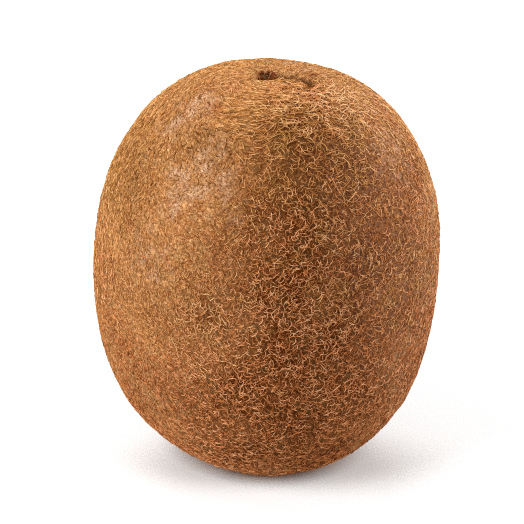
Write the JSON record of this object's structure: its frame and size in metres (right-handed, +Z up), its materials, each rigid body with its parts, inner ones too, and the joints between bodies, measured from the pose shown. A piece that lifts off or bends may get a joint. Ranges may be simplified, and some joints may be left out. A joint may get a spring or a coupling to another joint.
{
  "type": "kiwi fruit",
  "caption": "Whole fuzzy brown kiwi fruit with its woody stem scar and dried flower, standing on a small flat spot at its blossom end.",
  "frame": {"origin": "on the surface that the fruit stands on, under the middle of its box", "axes": "+Z up, along the fruit towards its stem scar; -Y is the front, which the stem end leans towards; +X to the right seen from the front"},
  "size_m": [0.0513, 0.0513, 0.0606],
  "materials": {
    "fuzzy_skin": "matt, thin and leathery under the fuzz",
    "fuzz_hair": "short dry bristly hairs",
    "stem_scar": "rough, dry and woody"
  },
  "bodies": {
    "root": {"kiwi_fruit": "fuzzy_skin"}
  },
  "joints": []
}
